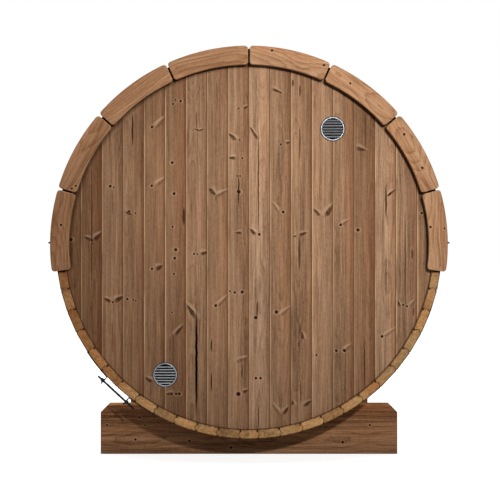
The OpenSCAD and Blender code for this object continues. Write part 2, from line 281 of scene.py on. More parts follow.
def grain_colour(sh, place, seed, palette, rings=190.0, ring_share=0.18, slope=0.05):
    """Colour and relief of sawn softwood at a place (across, along, depth) of the board with that
    seed: rings a metre, their share of the tone, and how much the log's middle wanders."""
    across, along, depth = sh.split(place)
    sx, sy, sz = sh.split(seed)
    shift = sh.stretch(seed, (17.3, 41.7, 29.1))
    moved = sh.out("VectorMath", {0: place, 1: shift}, operation="ADD")

    def drawn_out(waves_across, waves_along, detail, roughness=0.5):
        waves = (waves_across, waves_along, waves_across)
        return sh.noise(sh.stretch(moved, waves), 1.0, detail, roughness)

    slow = drawn_out(2.0, 0.9, 1.0)
    px = across + (sx - 0.5) * 0.16 + (slow - 0.5) * 0.05
    pz = depth + 0.02 + sy * 0.07 + sh.noise(sh.xyz(0.0, along, sz), 2.2, 1.0) * slope
    ragged = drawn_out(38.0, 1.6, 3.0)
    late = sh.math("FRACT", sh.length(px, pz) * rings + ragged * 1.6) ** 3.0
    streak = drawn_out(58.0, 1.6, 4.0, 0.6)
    broad = drawn_out(12.0, 0.9, 1.0)
    thin = drawn_out(180.0, 5.5, 2.0)
    fibre = drawn_out(560.0, 26.0, 2.0)
    mottle = drawn_out(90.0, 64.0, 3.0, 0.7)
    tone = streak * 0.95 - late * ring_share
    tone = tone + broad * 0.6 + thin * 0.56 + fibre * 0.26 + mottle * 0.42
    tone = tone - (0.91 - 0.25 * ring_share)
    dark, middle, light, red = palette
    colour = sh.ramp(tone, (0.14, dark), (0.5, middle), (0.86, light))
    lean = across * ((sz - 0.35) * 16.0)
    reddish = sh.math("ADD", sh.step(broad, 0.4, 0.7) * 0.35, lean, clamp=True)
    return sh.tint(colour, red, reddish * 0.9), streak + fibre * 0.5 - late


def mark_masks(sh, across, along):
    """Masks of the knots and cracks near this place: core, its darkness, pale rim, and the grain's
    sideways push. A wing knot is dark along its lower side and pale along its upper one; the
    others are even all round."""
    total_core, total_black, total_halo, push = 0.0, 0.0, 0.0, 0.0
    ragged = sh.noise(sh.xyz(across, along), 300.0) - 0.5
    wave = sh.noise(sh.xyz(0.0, along), 26.0) - 0.5
    across = across + wave * (8 * MM)
    for slot in range(MARK_SLOTS):
        place, dark = sh.attribute(f"mark{slot}_place")
        shape, glow = sh.attribute(f"mark{slot}_shape")
        cx, cy, angle = sh.split(place)
        half_len, half_wid, taper = sh.split(shape)
        wing, there = glow > WING_GLOW, half_len > 0.1 * MM
        dx, dy = across - cx, along - cy
        cos, sin = sh.math("COSINE", angle), sh.math("SINE", angle)
        u = (dx * cos + dy * sin) / sh.max(half_len, 0.01 * MM)
        held = sh.max(sh.min(u, 1.0), -1.0)
        width = half_wid * (held * taper + 1.0)
        v = (dy * cos - dx * sin) / sh.max(width, 0.01 * MM)
        low = (v + wing * 0.25) * (1.0 + wing * 0.1)
        off = sh.length(u, low) + ragged * 0.8
        fibres = sh.noise(sh.xyz(u + cx * 90.0, v * 2.6, cy), 1.3)
        streaks = sh.step(fibres, 0.34, 0.58, 0.5, 1.0)
        core = sh.step(off, 1.4, 0.8) * there * (1.0 - wing + wing * streaks)
        strength = sh.min(dark * 1.5, 1.0)
        below = abs(v + 0.85 + ragged * 0.7)
        line = sh.step(below, 0.5, 0.12) * sh.step(abs(u), 1.1, 0.7)
        line = line * (wing * there * sh.step(fibres, 0.3, 0.5, 0.45, 1.0)) * strength
        high = v - wing * 1.15
        rim = sh.math("SQRT", u * u * 0.6 + high * high) - (1.0 - wing) * 0.7
        halo = sh.step(rim, 1.5, 0.4) * glow * there
        total_core = sh.max(sh.max(total_core, core * strength), line * 0.85)
        total_black = sh.max(sh.max(total_black, core * dark), line * 0.75)
        total_halo = sh.max(total_halo, halo)
        push = push + halo * (dx * 0.6)
    return total_core, total_black, total_halo, push


def painted_shade(sh, colour):
    """Painted shade on the wall boards: darker against the staves, under the trim's inner edge and
    round the vents.
    """
    x, y, z = sh.split(sh.place())

    def away(across, up):
        return sh.length(x - across, z - up)

    dark = sh.step(away(0.0, AXIS), INNER_R - 9 * MM, INNER_R - 1 * MM, 0.0, 0.75)
    trim_in = TRIM_R - TRIM_W
    under = sh.step(away(0.0, TRIM_CENTRE), trim_in - 20 * MM, trim_in + 2 * MM, 0.0, 0.6)
    dark = sh.max(dark, under * sh.step(z, TRIM_CENTRE - 0.15, TRIM_CENTRE - 0.1))
    rear = y < 0.0
    for vent_at in VENTS.values():
        off = away(vent_at.x, vent_at.z)
        dark = sh.max(dark, sh.step(off, VENT_R + 0.5 * MM, VENT_R + 6 * MM, 0.85, 0.0) * rear)
    return sh.mix(dark, colour, srgb(38, 23, 15))


def board_wood(name, palette, marked=True, wall=False, pale=PALE_EDGE, dark=DARK_EDGE, **growth):
    """Wood of pieces built here: reads each face's board, grain place, edge and knots from the
    mesh. A wall board has painted shade towards its right edge and where it meets other pieces."""
    sh = Tree(bpy.data.materials.new(name))
    seed, tone = sh.attribute("board")
    place = sh.attribute("grain")[0]
    edge = sh.out("Attribute", output="Fac", attribute_name="edge")
    across, along, depth = sh.split(place)
    if marked:
        core, black, halo, push = mark_masks(sh, across, along)
        place = sh.xyz(across - push, along, depth)
    colour, relief = grain_colour(sh, place, seed, palette, **growth)
    colour = sh.tint(colour, sh.xyz(tone**0.8, tone, tone**1.2))
    if wall:
        # painted shade towards the board's right edge
        right_shade = sh.step(across, BOARD_W * 0.2, BOARD_W * 0.47, 0.0, 0.5)
        colour = sh.tint(colour, srgb(214, 200, 190), right_shade)
    if marked:
        colour = sh.mix(halo * 0.34, colour, HALO)
        mixed = sh.noise(place, 420.0, 3.0, 0.7)
        knot = sh.ramp(mixed, (0.38, srgb(52, 29, 19)), (0.62, srgb(104, 62, 40)))
        colour = sh.mix(core, colour, sh.mix(black**2.0, knot, CRACK))
        relief = relief - core * 1.5
    spot = sh.xyz(sh.split(seed)[0] * 40.0, along)
    # The pale edge comes and goes along the board: a worn arris on the wall, a painted highlight on
    # the trim and the cradle. The dark edge is a dark joint, and painted shade on the cradle.
    worn = sh.step(sh.noise(spot, 3.4), 0.36, 0.58, 0.25, 1.0)
    colour = sh.mix(sh.step(edge, 0.0, 1.0, 0.0, 0.75) * worn, colour, pale)
    colour = sh.mix(sh.step(edge, 0.0, -1.0, 0.0, 0.75), colour, dark)
    if wall:
        colour = painted_shade(sh, colour)
    roughness = sh.step(relief, -0.5, 1.5, 0.72, 0.6)
    return sh.surface(colour, roughness, WOOD_GLOSS, relief, *WOOD_RELIEF)


def stave_wood():
    """Wood of the CAD staves: finds the stave, its joint and its end grain from the place."""
    sh = Tree(bpy.data.materials.new("stave_wood"))
    where = sh.place()
    x, y, z = sh.split(where)
    z = z - AXIS
    radius = sh.length(x, z)
    angle = sh.math("ARCTAN2", z, abs(x))
    a_bottom, a_top = (math.atan(w / 2 / BARREL_R) for w in (BOTTOM_STAVE_W, TOP_STAVE_W))
    pitch = (math.pi - a_bottom - a_top) / STAVES_PER_SIDE
    width = radius * pitch
    off_mid = radius - (BARREL_R - STAVE_T / 2)
    bead = sh.math("SQRT", sh.max(BEAD_R**2 - off_mid * off_mid, 0.0)) - (BEAD_R - BEAD_H)
    count = (angle + (QUARTER - a_bottom)) / pitch - sh.max(bead, 0.0) / width
    within = sh.math("FRACT", count) - 0.5
    on_side = (count > 0.0) * (count < float(STAVES_PER_SIDE))
    key = sh.xyz(sh.math("FLOOR", count) * 1.37, sh.math("SIGN", x) * on_side * 5.3, 0.7)
    seed = sh.out("TexWhiteNoise", {0: key}, "Color", noise_dimensions="3D")
    depth = BARREL_R - radius
    colour, relief = grain_colour(sh, sh.xyz(within * width, y, depth), seed, STAVE_TONES)
    light, orange, _ = sh.split(seed)
    tone = 0.78 + light * 0.5
    colour = sh.tint(colour, sh.xyz(tone, tone, tone))
    colour = sh.tint(colour, srgb(255, 222, 190), sh.step(orange, 0.45, 0.75, 0.0, 0.4))
    normal = sh.out("NewGeometry", output="Normal")
    end = sh.step(abs(sh.split(normal)[1]), 0.7, 0.95)
    pores = sh.noise(where, 150.0, 3.0, 0.7)
    mottled = sh.ramp(pores, (0.3, srgb(232, 212, 180)), (0.7, srgb(255, 254, 236)))
    colour = sh.mix(end, colour, sh.tint(colour, mottled, 0.8))
    # Painted light and shade on the end grain: darker and redder on the left, lighter from the
    # middle rightward
    side_light_and_shade = sh.mix(sh.step(x, -0.5, -0.92), sh.xyz(1.2, 1.17, 1.22), sh.xyz(0.9, 0.79, 0.8))
    side_light_and_shade = sh.mix(sh.step(x, 0.3, 0.85), side_light_and_shade, sh.xyz(1.14, 1.16, 1.26))
    colour = sh.mix(end, colour, sh.tint(colour, side_light_and_shade))
    to_joint = (0.5 - abs(within)) * width
    to_face = sh.min(depth, STAVE_T - depth)
    joint = sh.step(to_joint, 0.5 * MM, 3.2 * MM, 0.85, 0.0)
    # painted shade in the V notches where neighbouring staves meet
    notch_shade = sh.step(to_joint, 8.0 * MM, 2.0 * MM) * sh.step(to_face, 11.0 * MM, 3.0 * MM)
    # painted shade along the outer edge of the stave ends
    rim = sh.step(depth, 6.5 * MM, 1.0 * MM) * end
    # stave ends under the trim painted near black: painted shade behind the trim and below its
    # lower end
    trim_shade = sh.step(z, TRIM_RISE - 0.155, TRIM_RISE - 0.138) * end
    colour = sh.mix(joint, colour, srgb(60, 38, 24))
    colour = sh.mix(notch_shade * 0.9, colour, srgb(26, 16, 11))
    colour = sh.mix(rim * 0.85, colour, srgb(46, 27, 16))
    colour = sh.mix(trim_shade, colour, srgb(20, 16, 14))
    return sh.surface(colour, 0.66, WOOD_GLOSS, relief + pores * end, *WOOD_RELIEF)


# --- metal and roofing
def metal(name, base, worn, roughness, brushed=0.0, bare=1.0, inside=None):
    """Metal with a slightly uneven finish; brushed adds fine lines along X; a paint is not bare.
    Inside is the colour it takes behind the rear wall's face: painted shade inside the vent."""
    sh = Tree(bpy.data.materials.new(name))
    where = sh.place()
    cloud = sh.noise(where, 34.0, 4.0, 0.6)
    lines = sh.noise(sh.stretch(where, (12.0, 900.0, 900.0)), 1.0)
    patch = cloud * (1 - brushed) + lines * brushed
    colour = sh.ramp(patch, (0.3, base), (0.75, worn))
    # painted shade behind the wall's face
    if inside:
        behind = sh.step(sh.split(where)[1], REAR_FACE - 2.5 * MM, REAR_FACE + 3 * MM)
        colour = sh.mix(behind, colour, inside)
    uneven = sh.step(patch, 0.25, 0.8, roughness - 0.07, roughness + 0.1)
    return sh.surface(colour, uneven, 0.3, patch, 0.15 * MM, 0.4, bare)


def black_paint():
    """Black powder coat: fine orange peel, greyer where it is rubbed."""
    sh = Tree(bpy.data.materials.new("black_steel"))
    peel = sh.noise(sh.place(), 900.0)
    dust = sh.noise(sh.place(), 18.0, 4.0, 0.65)
    colour = sh.ramp(dust, (0.35, srgb(10, 10, 11)), (0.8, srgb(24, 24, 26)))
    return sh.surface(colour, sh.step(dust, 0.3, 0.8, 0.38, 0.55), 0.12, peel, 0.2 * MM, 0.5)


def bitumen():
    """Mineral granules on bitumen: each grain its own grey, each tab a little lighter or darker."""
    sh = Tree(bpy.data.materials.new("bitumen_shingle"))
    where = sh.place()
    cells = sh.node("TexVoronoi", {"Vector": where, "Scale": 560.0}).outputs
    grain = sh.split(Value(sh, cells["Color"]))[0]
    stain = sh.noise(where, 7.0, 4.0, 0.6)
    greys = (0.1, srgb(20, 20, 22)), (0.6, srgb(44, 44, 47)), (0.97, srgb(104, 103, 104))
    tone = sh.split(sh.attribute("board")[0])[0] * 0.4 + (0.45 + stain * 0.6)
    colour = sh.tint(sh.ramp(grain, *greys), sh.xyz(tone, tone, tone))
    height = 1.0 - Value(sh, cells["Distance"])
    return sh.surface(colour, sh.step(grain, 0.0, 1.0, 0.95, 0.75), 0.15, height, 0.9 * MM, 0.8)


# --- boards and their knots
class Board:
    """One board: its own seed and tone, its middle and directions in X and Z, half its length,
    and the knots on its face."""

    def __init__(self, rng, middle, along, tone=1.0, lean=None, reach=0.0):
        self.seed = [rng.random() for _ in range(3)]
        if lean is not None:
            self.seed[2] = lean
        self.tone, self.reach = tone, reach
        self.middle, self.along = Vector(middle), Vector(along).normalized()
        self.across = Vector((self.along.y, -self.along.x))
        self.marks = []

    def local(self, point):
        off = Vector(point) - self.middle
        return off.dot(self.across), off.dot(self.along)

    def mark(self, start, end, width, dark, glow, taper=0.0):
        """A knot or crack between two points of X and Z, thick at its end where it tapers."""
        a, b = Vector(self.local(start)), Vector(self.local(end))
        run = b - a
        if run.x < 0:
            run, taper = -run, -taper
        centre = (a + b) / 2
        half = max(run.length / 2, width / 2)
        angle = math.atan2(run.y, run.x) if run.length > 0.001 * MM else 0.0
        self.marks.append(((*centre, angle, dark), (half, width / 2, taper, glow)))

    def scatter(self, rng, length, width, count):
        """A few knots where the photograph shows none, kept off the board's edges."""
        for _ in range(count):
            at = self.middle + self.along * (rng.random() - 0.5) * 0.86 * length
            at += self.across * (rng.random() - 0.5) * 0.6 * width
            kind = rng.random()
            if kind < 0.5:
                self.mark(at, at, rng.uniform(5, 9) * MM, rng.uniform(0.6, 0.95), 0.8)
            elif kind < 0.82:
                way = self.across * rng.choice((-1, 1)) + self.along * rng.uniform(0.2, 0.7)
                tip = at + way * rng.uniform(20, 34) * MM
                width_here, dark = rng.uniform(7, 11) * MM, rng.uniform(0.45, 0.7)
                self.mark(tip, at, width_here, dark, 0.9, 0.6)
            else:
                end = at + self.along * rng.uniform(60, 200) * MM
                self.mark(at, end, rng.uniform(2, 4) * MM, 0.6, 0.2)


def give(mesh, key, kind, domain, field, values):
    """Adds an attribute with these values to a mesh."""
    mesh.attributes.new(key, kind, domain).data.foreach_set(field, values)


class Solid:
    """Faces of one piece, with each point's grain place and each face's board and edge."""

    def __init__(self):
        self.points, self.grain, self.boards = [], [], []
        self.faces, self.face_board, self.face_edge = [], [], []

    def add(self, board, points, grain, faces, edges):
        first = len(self.points)
        self.points += [tuple(p) for p in points]
        self.grain += [tuple(g) for g in grain]
        self.faces += [[first + i for i in face] for face in faces]
        self.face_board += [len(self.boards)] * len(faces)
        self.face_edge += edges
        self.boards.append(board)

    def build(self, name, material, replaced=(), sharp=32, cuts=()):
        """Makes the object, riding on the root body; cuts are X places that divide wide faces."""
        mesh = bpy.data.meshes.new(name)
        mesh.from_pydata(self.points, [], self.faces)
        flat = [c for g in self.grain for c in g]
        give(mesh, "grain", "FLOAT_VECTOR", "POINT", "vector", flat)
        give(mesh, "edge", "FLOAT", "FACE", "value", self.face_edge)
        give(mesh, "board_index", "INT", "FACE", "value", self.face_board)
        work = bmesh.new()
        work.from_mesh(mesh)
        bmesh.ops.recalc_face_normals(work, faces=work.faces)
        for x in cuts:
            everything = work.verts[:] + work.edges[:] + work.faces[:]
            plane = {"plane_co": (x, 0, 0), "plane_no": (1, 0, 0)}
            bmesh.ops.bisect_plane(work, geom=everything, dist=0.1 * MM, **plane)
        work.to_mesh(mesh)
        work.free()
        self.give_boards(mesh)
        mesh.shade_smooth()
        mesh.set_sharp_from_angle(angle=math.radians(sharp))
        mesh.materials.append(material)
        piece = bpy.data.objects.new(name, mesh)
        scene.collection.objects.link(piece)
        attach(piece, "root")
        if replaced:
            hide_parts(*replaced)

    def give_boards(self, mesh):
        """Writes each face's board colour and the knots that reach it."""
        grain = [item.vector for item in mesh.attributes["grain"].data]
        index = [item.value for item in mesh.attributes["board_index"].data]
        marked = [f"mark{i}_{part}" for i in range(MARK_SLOTS) for part in ("place", "shape")]
        colours = {"board": []} | {key: [] for key in marked}
        for polygon in mesh.polygons:
            board = self.boards[index[polygon.index]]
            colours["board"] += [*board.seed, board.tone]
            near = self.near_marks(board.marks, [grain[v] for v in polygon.vertices])
            near += [(0.0,) * 4] * (len(marked) - len(near))
            for key, values in zip(marked, near):
                colours[key] += values
        if not any(board.marks for board in self.boards):
            colours = {"board": colours["board"]}
        for key, values in colours.items():
            give(mesh, key, "FLOAT_COLOR", "FACE", "color", values)

    @staticmethod
    def near_marks(marks, corners):
        """Place and shape of the marks nearest to a face, one after the other."""
        found = []
        for place, shape in marks:
            cos, sin = abs(math.cos(place[2])), abs(math.sin(place[2]))
            reach = cos * shape[0] + sin * shape[1], sin * shape[0] + cos * shape[1]
            spans = [(min(c[i] for c in corners), max(c[i] for c in corners)) for i in (0, 1)]
            inside = [
                lo - room - 6 * shape[1] < at < hi + room + 6 * shape[1]
                for at, room, (lo, hi) in zip(place, reach, spans)
            ]
            if all(inside):
                off = [at - (lo + hi) / 2 for at, (lo, hi) in zip(place, spans)]
                found.append((math.hypot(*off) - shape[0], place, shape))
        return [item for _, *pair in sorted(found)[:MARK_SLOTS] for item in pair]


# --- knots that the photograph shows
# All places are pixels of the photograph, all widths millimetres
# Round pin knots: across, down, diameter
WALL_PINS = [
    (151.9, 127.0, 8), (175.3, 99.8, 6), (180.4, 101.1, 8), (173.0, 104.0, 7), (238.7, 108.4, 6),
    (239.6, 140.0, 6), (242.2, 158.1, 7), (237.4, 176.0, 6), (240.4, 176.0, 6), (238.7, 191.7, 12),
    (172.1, 162.6, 9), (174.0, 193.6, 9), (151.6, 185.7, 8), (110.1, 186.2, 9), (113.9, 187.2, 6),
    (172.6, 226.8, 7), (70.9, 239.5, 11), (92.0, 240.2, 8), (280.7, 144.5, 7), (283.3, 212.0, 9),
    (259.4, 234.4, 9), (340.7, 224.8, 9), (357.9, 230.0, 10), (421.7, 213.0, 8), (112.6, 302.2, 7),
    (127.2, 299.0, 8), (133.0, 299.9, 6), (135.7, 300.8, 6), (152.0, 268.8, 8), (175.9, 249.7, 10),
    (174.6, 258.2, 9), (173.9, 273.9, 7), (194.0, 253.9, 7), (197.4, 254.2, 6), (215.7, 305.5, 9),
    (234.8, 292.4, 8), (242.2, 292.0, 10), (229.9, 291.2, 6), (172.0, 312.4, 6), (176.0, 393.8, 8),
    (179.2, 393.8, 9), (238.3, 394.0, 13), (255.8, 317.6, 11), (276.4, 312.0, 11),
    (336.2, 350.6, 9), (344.3, 350.6, 10), (381.9, 336.4, 9), (255.9, 378.2, 8), (260.6, 378.2, 8),
    (316.4, 355.0, 7), (403.2, 305.0, 7), (407.0, 306.3, 7), (129.4, 211.4, 8), (135.4, 213.2, 6),
]
# Wing knots: thin end across, down, thick end across, down, width
WALL_WINGS = [
    (194.4, 128.6, 199.6, 130.2, 6), (204.2, 128.6, 199.6, 130.2, 6),
    (248.4, 105.4, 243.8, 108.0, 8), (228.9, 133.2, 235.4, 139.2, 13),
    (228.9, 157.4, 235.0, 157.9, 12), (215.6, 195.0, 210.2, 188.6, 14),
    (131.6, 214.2, 126.4, 211.8, 11), (236.0, 232.4, 241.0, 232.3, 10),
    (85.0, 236.6, 91.4, 239.8, 12), (101.8, 232.4, 94.0, 239.4, 15), (282.0, 92.8, 273.2, 88.8, 10),
    (290.2, 141.4, 286.2, 142.8, 9), (306.6, 232.2, 299.6, 234.6, 11),
    (250.0, 228.6, 255.6, 233.8, 13), (314.0, 208.6, 319.6, 214.8, 12),
    (333.2, 204.0, 325.6, 214.6, 17), (365.6, 150.0, 357.2, 147.6, 14),
    (395.4, 189.0, 387.4, 195.4, 9), (104.2, 297.8, 110.6, 301.2, 12),
    (123.2, 296.0, 114.8, 300.6, 15), (161.8, 265.4, 156.4, 268.4, 16),
    (207.6, 251.6, 201.2, 253.4, 13), (187.2, 304.6, 196.2, 317.4, 15),
    (182.6, 325.6, 175.4, 334.0, 12), (145.8, 377.2, 151.6, 381.0, 13),
    (166.6, 393.6, 172.8, 393.2, 11), (247.8, 390.0, 243.2, 391.6, 11),
    (302.2, 331.8, 303.4, 338.6, 12), (397.2, 300.0, 400.4, 306.0, 8),
    (288.0, 407.0, 283.4, 413.4, 13), (292.4, 400.4, 293.4, 404.6, 12),
    (310.8, 400.6, 304.0, 405.4, 12), (250.4, 127.0, 257.6, 138.6, 10),
    (293.0, 236.4, 296.0, 235.6, 7),
]
# The same where the wood is pale and hardly dark
WALL_BLAZES = [
    (164.6, 117.5, 156.0, 126.6, 9), (164.4, 178.3, 157.0, 184.4, 9),
    (227.4, 190.0, 217.0, 195.4, 8), (226.8, 296.4, 218.0, 305.2, 8),
    (247.2, 357.2, 237.0, 361.0, 9), (289.4, 307.6, 281.0, 314.6, 8),
    (350.6, 345.0, 345.6, 349.8, 8), (394.4, 329.0, 385.0, 335.6, 7),
    (348.6, 220.0, 342.6, 223.8, 7), (414.0, 300.6, 411.0, 305.6, 8),
    (273.0, 404.0, 279.0, 413.0, 8), (272.0, 202.0, 277.6, 210.0, 6),
]
# Cracks and dark streaks: across, upper end, lower end, width, darkness
WALL_CRACKS = [
    (196.4, 314, 408, 9.5, 1.0), (132.6, 115, 144, 6.0, 0.75), (258.4, 138, 228, 4.5, 0.62),
    (238.7, 178, 206, 5.0, 0.85), (91.8, 168, 286, 6.0, 0.55), (299.8, 128, 158, 4.5, 0.6),
    (386.0, 186, 217, 6.0, 0.7), (365.4, 112, 150, 4.0, 0.5), (405.2, 215, 306, 6.0, 0.5),
    (386.0, 256, 296, 4.5, 0.5), (211.5, 340, 351, 5.0, 0.75), (211.3, 373, 390, 5.0, 0.75),
    (257.2, 302, 316, 6.0, 0.6), (242.1, 365, 379, 4.5, 0.6), (299.4, 238, 268, 8.0, 0.55),
    (364.4, 340, 386, 4.5, 0.65), (258.4, 406, 427, 4.5, 0.6), (300.6, 381, 402, 4.5, 0.55),
    (196.4, 112, 128, 4.0, 0.55), (183.8, 209, 224, 11.0, 0.6), (412.3, 250, 258, 6.0, 0.6),
    (300.0, 86, 96, 6.0, 0.6), (292.6, 80, 86, 9.0, 0.6), (112.4, 190, 214, 4.0, 0.4),
    (413.4, 307, 316, 7.0, 0.45), (300.0, 324, 334, 5.0, 0.55), (282.0, 94, 172, 4.0, 0.3),
    (216.0, 196, 201, 5.0, 0.5), (112.5, 322, 352, 5.0, 0.4), (170.2, 338, 352, 7.0, 0.35),
    (299.0, 341, 347, 7.0, 0.5), (217.0, 82, 110, 5.0, 0.4),
]
# Pin knots of the rear trim and the rear cradle
TRIM_PINS = [
    (272.0, 50.4, 8), (324.0, 65.2, 8), (350.2, 83.4, 7), (404.3, 134.3, 8), (422.3, 167.8, 8),
    (430.4, 227.0, 8), (61.0, 224.9, 8), (71.6, 188.4, 7), (76.0, 186.0, 7), (444.4, 228.4, 6),
]
CRADLE_PINS = [
    (107.0, 425.0, 7), (139.6, 417.6, 8), (145.0, 425.0, 6), (135.5, 439.5, 8), (189.5, 441.0, 8),
    (231.0, 447.5, 8), (369.8, 425.2, 7), (342.7, 442.2, 9),
]
# How light each wall board is, and how red its right side, from left to right
WALL_TONES = [
    (0.54, 0.2), (0.6, 0.9), (0.9, 0.4), (0.82, 0.8), (0.78, 0.4), (0.77, 0.9), (1.02, 0.4),
    (0.92, 0.5), (1.01, 0.8), (1.32, 0.4), (0.91, 0.7), (0.96, 0.7), (1.13, 0.3), (0.95, 0.8),
    (0.75, 0.7), (1.21, 0.5), (0.99, 0.6), (0.9, 0.4),
]
# How light each trim board is, from the top down; the left ones are darker, with painted shade on
# the side away from the light
TRIM_BOARD_TONE_AND_SHADE = {"right": [0.97, 0.9, 0.93, 0.93], "left": [0.78, 0.73, 0.72, 0.69]}
# How much wider than they look, how dark and how pale-rimmed wings and blazes are, and their taper
WING, BLAZE, WING_TAPER = (1.3, 0.68, 0.9), (1.9, 0.34, 1.15), 0.35
PIN_WIDEN, CRACK_WIDEN, CRACK_GLOW = 1.6, 1.3, 0.15


def put_marks(boards, y, pins=(), wings=(), blazes=(), cracks=(), dark=0.85, glow=0.8):
    """Puts marks of the photograph on the boards that carry them, on the plane Y = y.
    Dark is the most that a pin can be, and glow how pale its rim is."""

    def miss(board, point):
        across, along = board.local(point)
        return abs(across) + max(0.0, abs(along) - board.reach) * 9

    def put(start, end, *look):
        middle = (start + end) / 2
        min(boards, key=lambda board: miss(board, middle)).mark(start, end, *look)

    for px, py, width in pins:
        at = seen_at(px, py, y)
        put(at, at, PIN_WIDEN * width * MM, min(dark, 0.18 + 0.085 * width), glow)
    for group, (widen, depth, rim) in ((wings, WING), (blazes, BLAZE)):
        for x0, y0, x1, y1, width in group:
            tip, root = seen_at(x0, y0, y), seen_at(x1, y1, y)
            put(tip, root, widen * width * MM, depth, rim, WING_TAPER)
    for px, top, bottom, width, depth in cracks:
        ends = seen_at(px, top, y), seen_at(px, bottom, y)
        put(*ends, CRACK_WIDEN * width * MM, depth, CRACK_GLOW)


# --- end walls
def onto_circle(spot, hole):
    """A place on a board moved out or in, onto the edge of a round hole."""
    (u, v, d), (hu, hv, hr) = spot, hole
    scale = hr / math.hypot(u - hu, v - hv)
    return hu + (u - hu) * scale, hv + (v - hv) * scale, d


def board_rows(low, high, holes):
    """Shares of a board's height where its faces are divided, closer together at a hole."""
    rows = {round(i / BOARD_ROWS, 6) for i in range(BOARD_ROWS + 1)}
    for _, v, radius in holes:
        for i in range(2 * HOLE_ROWS + 1):
            rows.add(round((v + radius * 1.8 * (i / HOLE_ROWS - 1) - low) / (high - low), 6))
    close = ROW_APART / (high - low)
    apart = [0.0]
    for row in sorted(rows):
        if apart[-1] + close < row < 1 - close:
            apart.append(row)
    return apart + [1.0]


def wall_board(solid, board, u0, u1, span, face, outward, thickness, holes=()):
    """One tongue-and-groove board between u0 and u1, seen from outside; span(u) gives its ends.
    Holes are (u, v, radius): the faces inside are left out, their edge is drawn onto the circle
    and walled."""
    holes = [h for h in holes if u0 - h[2] < h[0] < u1 + h[2]]
    columns = HOLE_COLUMNS if holes else BOARD_COLUMNS
    profile = [(u0 + BOARD_GAP, CHAMFER_DEPTH)]
    profile += [(u, 0.0) for u in even(u0 + CHAMFER_W, u1 - GROOVE_W, columns)]
    profile += [(u1 - GROOVE_FLOOR_W, GROOVE_DEPTH), (u1 - BOARD_GAP, GROOVE_DEPTH)]
    profile += [(u, thickness) for u, _ in reversed(profile)]
    n = len(profile)
    pale = 0.35 + 0.5 * board.seed[1]
    edges = [pale] + [0.0] * columns + [-0.7, -0.7] + [0.0] * (n - columns - 3)
    rows = board_rows(*span((u0 + u1) / 2), holes)
    at, quads = {}, {}
    for j, row in enumerate(rows):
        for i, (u, d) in enumerate(profile):
            low, high = span(u)
            at[j, i] = (u, low + (high - low) * row, d)
            if j:
                k = (i + 1) % n
                quads[j - 1, i] = [(j - 1, i), (j - 1, k), (j, k), (j, i)]
    gone = {}
    beside_sides = {n // 2 - 1: n // 2 - 2, n - 1: 0}
    for j, i in quads:
        corners = [at[q] for q in quads[j, beside_sides.get(i, i)]]
        mid_u, mid_v = (sum(c[k] for c in corners) / 4 for k in (0, 1))
        for hole in holes:
            if math.hypot(mid_u - hole[0], mid_v - hole[1]) < hole[2]:
                gone[j, i] = hole
    walls = []
    for (j, i), hole in gone.items():
        around = (j - 1, i), (j + 1, i), (j, (i - 1) % n), (j, (i + 1) % n)
        for beside, (a, b) in zip(around, ((0, 1), (2, 3), (3, 0), (1, 2))):
            if beside not in gone:
                rim = [quads[j, i][a], quads[j, i][b]]
                for spot in rim:
                    at[spot] = onto_circle(at[spot], hole)
                if max(k for _, k in rim) < n // 2:
                    walls.append(rim + [(r, n - 1 - k) for r, k in reversed(rim)])
    kept = [key for key in quads if key not in gone]
    faces = [quads[key] for key in kept] + walls
    faces += [[(j, i) for i in range(n)] for j in (0, len(rows) - 1)]
    edges = [edges[i] for _, i in kept] + [0.0] * (len(walls) + 2)
    points = [(-outward * u, face - outward * d, AXIS + v) for u, v, d in at.values()]
    grain = [(u - (u0 + u1) / 2, v, d) for u, v, d in at.values()]
    solid.add(board, points, grain, [[j * n + i for j, i in f] for f in faces], edges)


def round_span(u):
    """Lower and upper end of a board that runs across the whole round wall."""
    up = math.sqrt(max(WALL_R**2 - u**2, 1e-4))
    return -up, up


# Board joints across the wall: one on the middle line, then every board width
outermost = int(WALL_R / BOARD_W)
joints = [i * BOARD_W for i in range(-outermost, outermost + 1)]
joints = [-WALL_R + 0.5 * MM] + joints + [WALL_R - 0.5 * MM]

wall_wood = board_wood("wall_wood", THERMO, wall=True)
rng = random.Random(11)
rear = Solid()
rear_boards = []
for (u0, u1), (tone, lean) in zip(pairwise(joints), WALL_TONES):
    rear_boards.append(Board(rng, ((u0 + u1) / 2, AXIS), (0, 1), tone, lean, WALL_R))
put_marks(rear_boards, REAR_FACE, WALL_PINS, WALL_WINGS, WALL_BLAZES, WALL_CRACKS)
vent_holes = [(v.x, v.z - AXIS, VENT_HOLE_R + 2.5 * MM) for v in VENTS.values()]
for (u0, u1), board in zip(pairwise(joints), rear_boards):
    wall_board(rear, board, u0, u1, round_span, REAR_FACE, -1, WALL_T, vent_holes)
rear.build("rear_wall_boards", wall_wood, ["rear_wall"])


def front_part(name, start, end, span):
    """Boards of one part of the front wall between two places across, seen from outside."""
    solid = Solid()
    for u0, u1 in pairwise(joints):
        u0, u1 = max(u0, start), min(u1, end)
        if u1 - u0 > NARROWEST_BOARD:
            middle = (u0 + u1) / 2
            board = Board(rng, (middle, 0), (0, 1), rng.uniform(0.82, 1.12), rng.random())
            low, high = span(middle)
            board.scatter(rng, high - low, u1 - u0, 3)
            wall_board(solid, board, u0, u1, span, FRONT_FACE, 1, WALL_T)
    solid.build(f"front_wall_boards_{name}", wall_wood, [f"front_wall_{name}"])


front_part("left", HOLE_X, WALL_R, round_span)
front_part("right", -WALL_R, -HOLE_X, round_span)
front_part("head", -HOLE_X, HOLE_X, lambda u: (HOLE_UP, round_span(u)[1]))
front_part("sill", -HOLE_X, HOLE_X, lambda u: (round_span(u)[0], -HOLE_UP))

